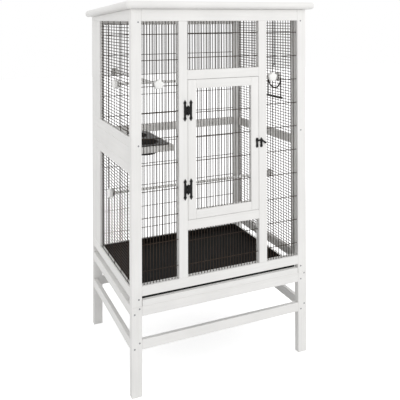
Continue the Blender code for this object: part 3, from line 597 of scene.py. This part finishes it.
def make_door_frame():
    """Two stiles and two rails, butted at the corners as the real door is."""
    low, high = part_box("door_frame")
    grille_low, grille_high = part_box("door_grille")
    plane = (grille_low[1] + grille_high[1]) / 2
    inner_x = (low[0] + DOOR_MEMBER_W, high[0] - DOOR_MEMBER_W)
    sticks = (
        ("door_stile_left", low, (inner_x[0], high[1], high[2]), (1, 0, 0), "Z"),
        ("door_stile_right", (inner_x[1], low[1], low[2]), high, (-1, 0, 0), "Z"),
        ("door_rail_top", (inner_x[0] + BUTT_GAP, low[1], high[2] - DOOR_MEMBER_W),
         (inner_x[1] - BUTT_GAP, high[1], high[2]), (0, 0, -1), "X"),
        ("door_rail_bottom", (inner_x[0] + BUTT_GAP, low[1], low[2]),
         (inner_x[1] - BUTT_GAP, high[1], low[2] + DOOR_MEMBER_W), (0, 0, 1), "X"),
    )
    for name, a, b, inward, grain in sticks:
        stick = grooved_stick(name, a, b, inward, plane)
        put(stick, "door", PAINT[grain], ("door_frame",))


def screw(name, centre, normal, radius=SCREW_R):
    """A flat head with a turned edge and a recess, sunk so that its face is almost flush."""
    clear_selection()
    turn = Vector((0, 0, 1)).rotation_difference(Vector(normal)).to_euler()
    bpy.ops.mesh.primitive_cylinder_add(
        vertices=24, radius=radius, depth=SCREW_T * 2, location=(0, 0, 0))
    head = bpy.context.object
    head.name = name
    pick(head, "FACE", face_towards((0, 0, 1)))
    bpy.ops.mesh.inset(thickness=radius * 0.12)
    bpy.ops.transform.translate(value=(0, 0, SCREW_T * 0.3))
    bpy.ops.mesh.inset(thickness=radius * 0.45)
    extrude((0, 0, -SCREW_T * 0.9), (0.5, 0.5, 1))
    bpy.ops.object.mode_set(mode="OBJECT")
    head.rotation_euler = turn
    head.location = centre
    bpy.ops.object.transform_apply(location=True, rotation=True, scale=True)
    return head


def make_screws():
    """The screws of the front, in the posts, legs and rails."""
    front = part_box("post_front_left")[0][1]
    first_x, first_z = FRONT_SCREWS[0]
    first = screw("screw", (first_x * MM, front, first_z * MM), (0, -1, 0))
    heads = [first]
    for x, z in FRONT_SCREWS[1:]:
        heads.append(copy_of(first, "screw", ((x - first_x) * MM, 0, (z - first_z) * MM)))
    put(join(heads, "front_screws"), "cage", ZINC)


def make_hinge_leaf(node, body, side, knuckle_middle):
    """A cast leaf: a bar with a spear at each end, a waist to the knuckle and two round rivets."""
    low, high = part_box(node)
    axis_x = low[0] + KNUCKLE_R if side > 0 else high[0] - KNUCKLE_R
    axis_y = low[1] + KNUCKLE_R
    z = (low[2] + high[2]) / 2
    tip = (high[2] - low[2]) / 2
    wide = high[0] - axis_x if side > 0 else axis_x - low[0]

    def at(x, y, up):
        return (axis_x + side * x, axis_y + y, z + up)

    bar_in, bar_out = [wide * share for share in LEAF_BAR]
    bar_z = tip * LEAF_BAR_UP
    plate_y = (KNUCKLE_R - LEAF_T, KNUCKLE_R)
    corners = [at(bar_in, plate_y[0], -bar_z), at(bar_out, plate_y[1], bar_z)]
    bar_low = [min(pair) for pair in zip(*corners)]
    bar_high = [max(pair) for pair in zip(*corners)]
    leaf = block(node + "_casting", bar_low, bar_high)
    barb = wide * LEAF_BARB / (bar_out - bar_in)
    for way in (1, -1):
        pick(leaf, "FACE", face_towards((0, 0, way)))
        for rise, width, depth in ((0.10, barb, 1), (0.12, 0.62, 0.9), (0.15, 0.16, 0.5)):
            extrude((0, 0, way * tip * rise), (width, depth, 1))
        bpy.ops.object.mode_set(mode="OBJECT")

    half = KNUCKLE_H / 2
    third = KNUCKLE_H / 6
    take(leaf)
    bpy.ops.object.mode_set(mode="EDIT")
    for cut in (-half, -third, third, half):
        bpy.ops.mesh.select_all(action="SELECT")
        bpy.ops.mesh.bisect(plane_co=(0, 0, z + cut), plane_no=(0, 0, 1))
    if knuckle_middle:
        joined = lambda up: abs(up) < third
    else:
        joined = lambda up: third < abs(up) < half
    inner = face_towards((-side, 0, 0))
    within = lambda face: abs(face.calc_center_median().z - z) < half
    repick(leaf, "FACE", lambda face: inner(face) and within(face))
    extrude((-side * (bar_in - KNUCKLE_R - RUNNING_GAP), 0, 0))
    repick(leaf, "FACE", lambda face: inner(face) and joined(face.calc_center_median().z - z))
    extrude((-side * (KNUCKLE_R * 0.55), 0, 0))
    bpy.ops.object.mode_set(mode="OBJECT")
    ease(leaf, 0.5 * MM, 2)

    parts = [leaf]
    for up in (0,) if knuckle_middle else (-third * 2, third * 2):
        barrel_at = (axis_x, axis_y, z + up)
        parts.append(rod("barrel", barrel_at, "Z", KNUCKLE_R, third * 2 - RUNNING_GAP, 24, 0.18))
    if not knuckle_middle:
        for end in (-1, 1):
            clear_selection()
            bpy.ops.mesh.primitive_uv_sphere_add(
                segments=16, ring_count=8, radius=PIN_R * 1.5,
                location=(axis_x, axis_y, z + end * (half + FINIAL_UP)))
            finial = bpy.context.object
            finial.scale = (1, 1, 1.25)
            bpy.ops.object.transform_apply(location=True, rotation=True, scale=True)
            parts.append(finial)
    for up in (-tip * 0.5, tip * 0.5):
        centre = at((bar_in + bar_out) / 2, plate_y[0], up)
        parts.append(screw("rivet", centre, (0, -1, 0), HINGE_RIVET_R))
    put(join(parts, node + "_casting"), body, CAST_BLACK, (node,))


def cast_plate(name, low, high, outline):
    """A thin casting drawn upwards from its foot. outline holds shares of the height and the width."""
    middle = (low[0] + high[0]) / 2
    half = (high[0] - low[0]) / 2
    height = high[2] - low[2]
    (foot, foot_w), (at, wide) = outline[:2]
    plate = block(
        name, (middle - half * wide, low[1], low[2] + height * foot),
        (middle + half * wide, high[1], low[2] + height * at))
    pick(plate, "FACE", face_towards((0, 0, -1)))
    bpy.ops.transform.resize(value=(foot_w / wide, 1, 1))
    repick(plate, "FACE", face_towards((0, 0, 1)))
    for next_at, next_w in outline[2:]:
        extrude((0, 0, height * (next_at - at)), (next_w / wide, 1, 1))
        at, wide = next_at, next_w
    bpy.ops.object.mode_set(mode="OBJECT")
    ease(plate, 0.5 * MM, 2)
    return plate


def make_latch():
    """The latch's plate with its stud, its keeper and the lever with a turned knob."""
    for node, body in (("latch_plate", "door"), ("latch_keeper", "cage")):
        low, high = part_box(node)
        face = high[1] - LATCH_PLATE_T
        outline = DOOR_PLATE_OUTLINE if node == "latch_plate" else KEEPER_OUTLINE
        plate = cast_plate(f"{node}_casting", (low[0], face, low[2]), high, outline)
        middle_x = (low[0] + high[0]) / 2
        middle_z = (low[2] + high[2]) / 2
        parts = [plate]
        for up in RIVETS_UP[node]:
            parts.append(screw("rivet", (middle_x, face, middle_z + up), (0, -1, 0), RIVET_R))
        if node == "latch_plate":
            pivot_z = middle_z + PIVOT_UP
            stud_l = high[1] - low[1]
            stud = rod("stud", (middle_x, low[1] + stud_l / 2, pivot_z), "Y", STUD_R, stud_l, 24, 0.2)
            head_at = (middle_x, low[1] + STUD_HEAD_T / 2, pivot_z)
            parts += [stud, rod("head", head_at, "Y", STUD_HEAD_R, STUD_HEAD_T, 32, 0.3)]
        else:
            rest_z = middle_z + REST_UP
            rest = block(
                "rest", (middle_x - REST_W, low[1], rest_z - REST_T),
                (middle_x, high[1] - LATCH_PLATE_T / 2, rest_z))
            ease(rest, 0.6 * MM, 2)
            parts.append(rest)
        put(join(parts, f"{node}_casting"), body, CAST_BLACK, (node,))

    plate_low, plate_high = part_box("latch_plate")
    pivot = ((plate_low[0] + plate_high[0]) / 2, (plate_low[2] + plate_high[2]) / 2 + PIVOT_UP)
    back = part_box("latch_lever")[1][1]
    half = LEVER_W / 2
    lever = block(
        "latch_lever_arm", (pivot[0], back - LEVER_T, pivot[1] - half),
        (pivot[0] + LEVER_BEND, back, pivot[1] + half))
    pick(lever, "VERT", lambda vert: vert.co.x > pivot[0] + half and vert.co.z > pivot[1])
    bpy.ops.transform.translate(value=(half, 0, 0))
    repick(lever, "FACE", face_towards((1, 0, 0), 0.6))
    extrude((KNOB_OUT - LEVER_BEND - half / 2, 0, -KNOB_DROP), (1, 1, 0.9))
    bpy.ops.object.mode_set(mode="OBJECT")
    ease(lever, 0.8 * MM, 3)
    eye = rod("eye", (pivot[0], back - LEVER_T / 2, pivot[1]), "Y", LEVER_EYE_R, LEVER_T, 32, 0.12)
    knob_front = back - LEVER_T - KNOB_PROUD
    clear_selection()
    bpy.ops.mesh.primitive_cone_add(
        vertices=24, radius1=KNOB_R, radius2=KNOB_R * 0.7, depth=KNOB_T,
        rotation=(math.pi / 2, 0, 0),
        location=(pivot[0] + KNOB_OUT, knob_front + KNOB_T / 2, pivot[1] - KNOB_DROP))
    knob = bpy.context.object
    bpy.ops.object.transform_apply(location=True, rotation=True, scale=True)
    ease(knob, 1.2 * MM, 4)
    arm = join([lever, eye, knob], "latch_lever_arm")
    put(arm, "latch", CAST_BLACK, ("latch_lever",))


def star_knob(name, centre, outward):
    """A moulded star knob: every other corner of a blank is pulled out, rounded and crowned."""
    clear_selection()
    bpy.ops.mesh.primitive_cylinder_add(
        vertices=STAR_LOBES * 2, radius=STAR_R - STAR_LOBE, depth=STAR_T - STAR_CROWN,
        location=(0, 0, (STAR_T - STAR_CROWN) / 2))
    knob = bpy.context.object
    knob.name = name
    bpy.ops.object.transform_apply(location=True, rotation=True, scale=True)
    turn = 2 * math.pi / STAR_LOBES
    lobe = lambda vert: abs(math.remainder(math.atan2(vert.co.x, vert.co.y), turn)) < turn / 4
    pick(knob, "VERT", lobe)
    out = (STAR_R + STAR_LOBE * 1.6) / (STAR_R - STAR_LOBE)
    bpy.ops.transform.resize(value=(out, out, 1), center_override=(0, 0, 0))
    repick(knob, "EDGE", lambda edge: abs(edge.verts[0].co.z - edge.verts[1].co.z) > 1 * MM)
    bpy.ops.mesh.bevel(offset=STAR_ROUND, segments=6, affect="EDGES")
    repick(knob, "FACE", face_towards((0, 0, 1)))
    for share in (0.93, 0.73):
        extrude((0, 0, STAR_CROWN * 0.5), (share, share, 1))
    bpy.ops.object.mode_set(mode="OBJECT")
    ease(knob, 0.9 * MM, 2, 0.35)
    knob.rotation_euler = Vector((0, 0, 1)).rotation_difference(Vector(outward)).to_euler()
    knob.location = centre
    bpy.ops.object.transform_apply(location=True, rotation=True, scale=True)
    return knob


def make_front_clamp():
    """A star knob outside the right front grille, with its screw and its flange inside."""
    low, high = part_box("front_grille_right")
    plane = (low[1] + high[1]) / 2
    x, z = FRONT_CLAMP
    parts = [
        star_knob("star_knob", (x, plane - WIRE_FACE, z), (0, -1, 0)),
        rod("clamp_screw", (x, plane, z), "Y", CLAMP_SCREW_R, 4 * WIRE_FACE, 16, 0.1),
        rod("flange", (x, plane + WIRE_FACE + FLANGE_T / 2, z), "Y", FLANGE_R, FLANGE_T, 40, 0.06),
    ]
    put(join(parts, "front_clamp_moulded"), "cage", MOULDED_WHITE)


def with_coordinate(point, axis, value):
    """A copy of a point with one of its coordinates changed."""
    moved = list(point)
    moved[axis] = value
    return moved


def make_perches():
    """Moulded rods between two grilles, clamped by a flange inside and a star knob outside."""
    for node in ("perch_high", "perch_low", "perch_side"):
        low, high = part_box(node)
        size = [b - a for a, b in zip(low, high)]
        axis = size.index(max(size))
        name = "XYZ"[axis]
        centre = [(a + b) / 2 for a, b in zip(low, high)]
        if node == "perch_side":
            centre[0] -= PERCH_SIDE_OFF
        inside = STAR_T + 2 * WIRE_FACE
        length = size[axis] - 2 * (inside + FLANGE_T / 2)
        parts = [rod(f"{node}_rod", centre, name, PERCH_R, length, 24, 0.1)]
        for end, outward in ((low[axis], -1), (high[axis], 1)):
            flange_at, collar_at, screw_at, knob_at = [
                with_coordinate(centre, axis, end - outward * distance) for distance in (
                    inside + FLANGE_T / 2, inside + FLANGE_T * 1.6, STAR_T + WIRE_FACE, STAR_T)]
            normal = with_coordinate((0, 0, 0), axis, outward)
            parts += [
                rod("flange", flange_at, name, FLANGE_R, FLANGE_T, 40, 0.06),
                rod("collar", collar_at, name, PERCH_R * 1.5, FLANGE_T * 1.4, 32, 0.2),
                rod("clamp_screw", screw_at, name, CLAMP_SCREW_R, 4 * WIRE_FACE, 16, 0.1),
                star_knob("star_knob", knob_at, normal),
            ]
        put(join(parts, f"{node}_moulded"), "cage", MOULDED_WHITE, (node,))


def make_swing():
    """The swing's arch and bar, and the rod and eye that it hangs from."""
    low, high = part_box("swing")
    x = (low[0] + high[0]) / 2
    middle_y = (low[1] + high[1]) / 2
    top = high[2] - ARCH_R
    bottom = low[2] + SWING_BAR_R
    arch_z = top - (ARCH_HALF - ARCH_FLAT)
    clear_selection()
    bpy.ops.mesh.primitive_circle_add(
        vertices=16, radius=ARCH_R, fill_type="NGON",
        location=(x, middle_y - ARCH_HALF, bottom))
    arch = bpy.context.object
    bpy.ops.object.transform_apply(location=True, rotation=True, scale=True)
    pick(arch, "FACE", lambda face: True)
    extrude((0, 0, arch_z - bottom))
    bpy.ops.mesh.spin(
        steps=10, angle=-math.pi / 2, center=(x, middle_y - ARCH_FLAT, arch_z), axis=(1, 0, 0))
    extrude((0, ARCH_FLAT * 2, 0))
    bpy.ops.mesh.spin(
        steps=10, angle=-math.pi / 2, center=(x, middle_y + ARCH_FLAT, arch_z), axis=(1, 0, 0))
    extrude((0, 0, bottom - arch_z))
    bpy.ops.mesh.select_all(action="SELECT")
    bpy.ops.mesh.remove_doubles(threshold=0.01 * MM)
    bpy.ops.mesh.normals_make_consistent(inside=False)
    bpy.ops.object.mode_set(mode="OBJECT")
    bar = rod("bar", (x, middle_y, bottom), "Y", SWING_BAR_R, high[1] - low[1], 24, 0.45)
    put(join([arch, bar], "swing_moulded"), "swing", MOULDED_BLACK, ("swing",))

    low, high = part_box("swing_hanger")
    x = (low[0] + high[0]) / 2
    y = (low[1] + high[1]) / 2
    clear_selection()
    bpy.ops.mesh.primitive_torus_add(
        major_radius=EYE_R, minor_radius=EYE_WIRE_R, major_segments=32, minor_segments=12,
        location=(x, y, top), rotation=(math.pi / 2, 0, 0))
    eye = bpy.context.object
    bpy.ops.object.transform_apply(location=True, rotation=True, scale=True)
    rod_low = top + EYE_R
    stem_l = high[2] - rod_low - 1 * MM
    stem = rod("stem", (x, y, (rod_low + high[2]) / 2), "Z", STEM_R, stem_l, 16, 0)
    plate_at = (x, y, high[2] - ROOF_PLATE_T / 2)
    parts = [eye, stem, rod("plate", plate_at, "Z", ROOF_PLATE_R, ROOF_PLATE_T, 40, 0.06)]
    for way in (-1, 1):
        screw_at = (x, y + way * ROOF_SCREW_OUT, high[2] - ROOF_PLATE_T)
        parts.append(screw("hanger_screw", screw_at, (0, 0, -1), RIVET_R))
    put(join(parts, "swing_hanger_wire"), "cage", CAST_BLACK, ("swing_hanger",))


def make_bowls():
    """The double bowl: a flange with rounded corners and two cups with a rolled lip."""
    low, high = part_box("feeding_bowls")
    middle = [(a + b) / 2 for a, b in zip(low, high)]
    top = high[2]
    flange = block("flange", (low[0], low[1], top - BOWL_FLANGE_T), high)
    pick(flange, "EDGE", stands_upright)
    bpy.ops.mesh.bevel(offset=BOWL_CORNER_R, segments=8, affect="EDGES")
    bpy.ops.object.mode_set(mode="OBJECT")
    parts = [flange]
    depth = top - low[2]
    for way in (-1, 1):
        y = middle[1] + way * CUP_OUT
        clear_selection()
        bpy.ops.mesh.primitive_cylinder_add(
            vertices=64, radius=CUP_HOLE_R, depth=8 * MM, location=(middle[0], y, top))
        cutter = bpy.context.object
        take(flange)
        cut = flange.modifiers.new("hole", "BOOLEAN")
        cut.object = cutter
        bpy.ops.object.modifier_apply(modifier=cut.name)
        bpy.data.objects.remove(cutter, do_unlink=True)
        clear_selection()
        bpy.ops.mesh.primitive_cone_add(
            vertices=64, radius1=CUP_FLOOR_R, radius2=CUP_TOP_R, depth=depth - CUP_SUNK,
            location=(middle[0], y, top - (depth + CUP_SUNK) / 2))
        cup = bpy.context.object
        bpy.ops.object.transform_apply(location=True, rotation=True, scale=True)
        pick(cup, "FACE", face_towards((0, 0, 1)))
        bpy.ops.mesh.inset(thickness=CUP_WALL)
        floor_scale = (CUP_FLOOR_R - CUP_WALL) / (CUP_TOP_R - CUP_WALL)
        extrude((0, 0, CUP_SUNK + CUP_FLOOR_T - depth), (floor_scale, floor_scale, 1))
        bpy.ops.object.mode_set(mode="OBJECT")
        ease(cup, 2.2 * MM, 4, 0.7)
        parts.append(cup)
        clear_selection()
        bpy.ops.mesh.primitive_torus_add(
            major_radius=LIP_R, minor_radius=LIP_ROLL_R, major_segments=64, minor_segments=12,
            location=(middle[0], y, top))
        lip = bpy.context.object
        bpy.ops.object.transform_apply(location=True, rotation=True, scale=True)
        parts.append(lip)
    bowls = join(parts, "feeding_bowls_moulded")
    put(bowls, "cage", MOULDED_BLACK, ("feeding_bowls",))


def make_tray():
    """The formed tray: a thin shell with round corners and a flat rim."""
    low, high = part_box("tray")
    foot = low[2] + TRAY_LIFT
    tray = block(
        "tray_formed", (low[0] + TRAY_RIM, low[1] + TRAY_RIM, foot),
        (high[0] - TRAY_RIM, high[1] - TRAY_RIM, high[2]))
    pick(tray, "EDGE", stands_upright)
    bpy.ops.mesh.bevel(offset=TRAY_CORNER_R, segments=6, affect="EDGES")
    repick(tray, "FACE", face_towards((0, 0, 1)))
    bpy.ops.mesh.delete(type="ONLY_FACE")
    repick(tray, "EDGE", lambda edge: edge.is_boundary)
    wide = (high[0] - low[0]) / (high[0] - low[0] - 2 * TRAY_RIM)
    deep = (high[1] - low[1]) / (high[1] - low[1] - 2 * TRAY_RIM)
    middle = ((low[0] + high[0]) / 2, (low[1] + high[1]) / 2, high[2])
    bpy.ops.mesh.extrude_region_move(TRANSFORM_OT_translate={"value": (0, 0, 0)})
    bpy.ops.transform.resize(value=(wide, deep, 1), center_override=middle)
    bpy.ops.object.mode_set(mode="OBJECT")
    pick(tray, "EDGE", lambda edge: all(abs(vert.co.z - foot) < 0.1 * MM for vert in edge.verts))
    bpy.ops.mesh.bevel(offset=TRAY_FOOT_R, segments=4, affect="EDGES")
    bpy.ops.mesh.select_all(action="SELECT")
    bpy.ops.mesh.normals_make_consistent(inside=False)
    bpy.ops.object.mode_set(mode="OBJECT")
    shell = tray.modifiers.new("shell", "SOLIDIFY")
    shell.thickness = TRAY_WALL
    shell.offset = 1
    bpy.ops.object.modifier_apply(modifier=shell.name)
    put(tray, "drawer", TRAY_BLACK, ("tray",))


def make_camera():
    """The camera where the photograph was taken, with its lens shifted as there."""
    clear_selection()
    camera = bpy.data.cameras.new("camera")
    camera.sensor_width = SENSOR_MM
    camera.lens = FOCAL_PX / PHOTO_PX * SENSOR_MM
    camera.shift_y = (HORIZON_PX - (PHOTO_PX - 1) / 2) / PHOTO_PX
    obj = bpy.data.objects.new("camera", camera)
    bpy.context.collection.objects.link(obj)
    obj.location = CAMERA_AT
    obj.rotation_euler = [math.radians(turn) for turn in (CAMERA_TILT, CAMERA_ROLL, -CAMERA_YAW)]
    bpy.context.scene.camera = obj


def make_key_light():
    """One soft lamp above the front on the right."""
    light = bpy.data.lights.new("key", "AREA")
    light.shape = "SQUARE"
    light.size = KEY_SIZE
    light.energy = KEY_POWER
    obj = bpy.data.objects.new("key", light)
    obj.location = KEY_AT
    obj.rotation_euler = (Vector(KEY_TARGET) - Vector(KEY_AT)).to_track_quat("-Z", "Y").to_euler()
    bpy.context.collection.objects.link(obj)


def make_studio():
    """A white floor in a white room that lights the object a little less than it shows."""
    clear_selection()
    bpy.ops.mesh.primitive_plane_add(size=24, location=(0, 0, 0))
    floor = bpy.context.object
    floor.name = "floor"
    material, tree, shader = new_material("white_floor")
    shader.inputs["Base Color"].default_value = hex_colour("EDEDED")
    shader.inputs["Roughness"].default_value = 0.9
    shader.inputs["Specular IOR Level"].default_value = 0.1
    path = add_node(tree, "ShaderNodeLightPath")
    glow = add_node(tree, "ShaderNodeEmission", {"Color": (1, 1, 1, 1)})
    lift = add_node(
        tree, "ShaderNodeMath", {"operation": "MULTIPLY"}, {0: path.outputs["Is Camera Ray"]})
    lift.inputs[1].default_value = FLOOR_LIFT
    tree.links.new(lift.outputs["Value"], glow.inputs["Strength"])
    both = add_node(tree, "ShaderNodeAddShader")
    tree.links.new(shader.outputs["BSDF"], both.inputs[0])
    tree.links.new(glow.outputs["Emission"], both.inputs[1])
    tree.links.new(both.outputs["Shader"], tree.nodes["Material Output"].inputs["Surface"])
    floor.data.materials.append(material)

    world = bpy.data.worlds.new("studio")
    bpy.context.scene.world = world
    world.use_nodes = True
    tree = world.node_tree
    tree.nodes.clear()
    path = add_node(tree, "ShaderNodeLightPath")
    mirrored = add_node(
        tree, "ShaderNodeMath", {"operation": "MAXIMUM"},
        {0: path.outputs["Is Transmission Ray"], 1: path.outputs["Is Glossy Ray"]})
    seen = add_node(
        tree, "ShaderNodeMath", {"operation": "MAXIMUM"},
        {0: path.outputs["Is Camera Ray"], 1: mirrored.outputs["Value"]})
    strength = add_node(
        tree, "ShaderNodeMapRange", {"To Min": WORLD_LIGHT, "To Max": 1.0},
        {"Value": seen.outputs["Value"]})
    background = add_node(
        tree, "ShaderNodeBackground", {"Color": (1, 1, 1, 1)},
        {"Strength": strength.outputs["Result"]})
    add_node(tree, "ShaderNodeOutputWorld", None, {"Surface": background.outputs["Background"]})
    bpy.context.scene.view_settings.view_transform = "Standard"


make_camera()
finish_timber()
make_roof()
make_grilles()
make_side_boards()
make_door_frame()
make_screws()
for hinge in ("lower", "upper"):
    make_hinge_leaf(f"hinge_{hinge}_frame_leaf", "cage", -1, False)
    make_hinge_leaf(f"hinge_{hinge}_door_leaf", "door", 1, True)
make_latch()
make_perches()
make_front_clamp()
make_swing()
make_bowls()
make_tray()
make_studio()
make_key_light()
